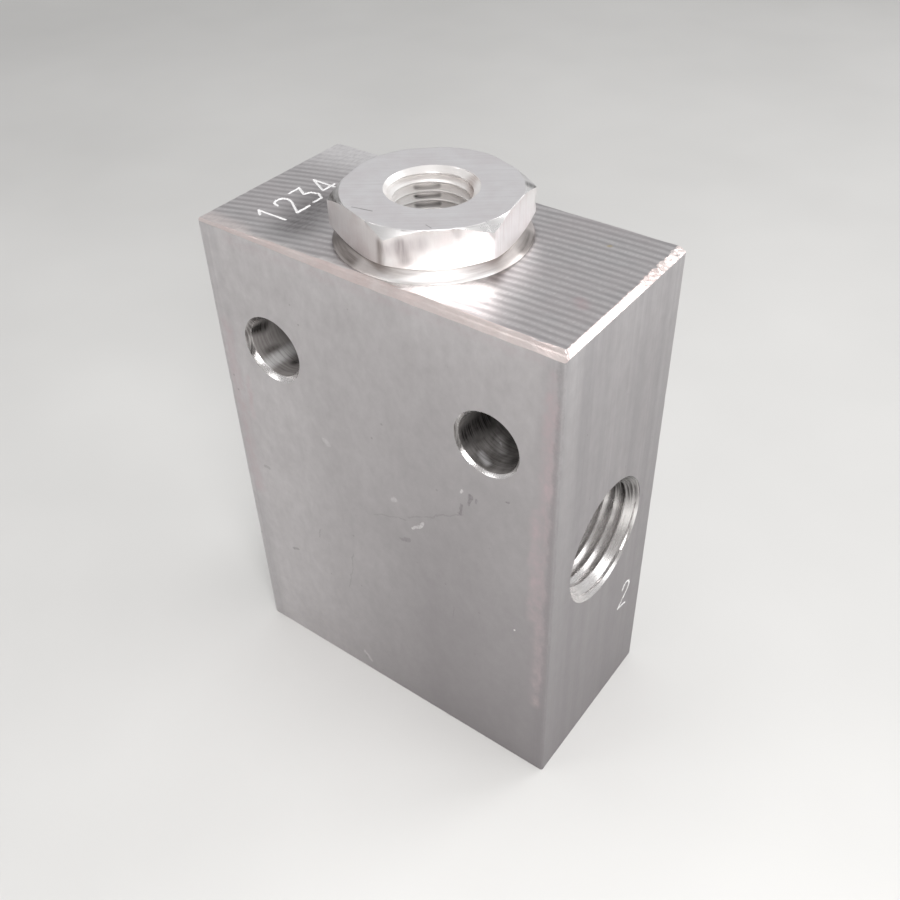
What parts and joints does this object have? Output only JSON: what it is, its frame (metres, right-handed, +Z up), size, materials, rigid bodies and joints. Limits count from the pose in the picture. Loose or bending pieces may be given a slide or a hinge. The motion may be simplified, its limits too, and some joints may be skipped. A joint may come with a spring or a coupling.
{
  "type": "pilot-operated check valve block",
  "caption": "Pilot-operated check valve: a rectangular aluminium block with a screwed hexagon pilot cap, pipe-threaded side ports and bolt holes.",
  "frame": {"origin": "middle of the block's bottom face", "axes": "+Z up along the main bore towards the pilot cap, +X towards the valve port, -Y towards the front face, which shows the two mounting holes"},
  "size_m": [0.0636, 0.0318, 0.0944],
  "materials": {
    "block": "matt drawn and milled, slightly stained",
    "cap": "turned and milled, bright",
    "hard_steel": "hardened and ground",
    "spring_steel": "drawn, oiled",
    "seal": "moulded nitrile rubber",
    "backup": "turned white plastic"
  },
  "bodies": {
    "block": {"valve_block": "block", "pilot_cap": "cap", "cap_seal_ring": "seal", "valve_seat": "hard_steel", "seat_seal_ring": "seal", "seat_circlip": "spring_steel"},
    "piston": {"pilot_piston": "hard_steel", "piston_seal_ring": "seal", "upper_backup_ring": "backup", "lower_backup_ring": "backup"},
    "poppet": {"check_poppet": "hard_steel", "poppet_spring": "spring_steel"}
  },
  "joints": [
    {"name": "piston_slide", "type": "slide", "parent": "block", "child": "piston", "axis": [0, 0, -1], "range_m": [0, 0.004]},
    {"name": "poppet_slide", "type": "slide", "parent": "block", "child": "poppet", "axis": [0, 0, -1], "range_m": [0, 0.004], "stiffness_N_per_m": 1900, "springref_m": -0.0033, "deforming": ["poppet_spring"]}
  ],
  "couplings": [
    {"joint": "poppet_slide", "follows": "piston_slide", "ratio": 1}
  ]
}
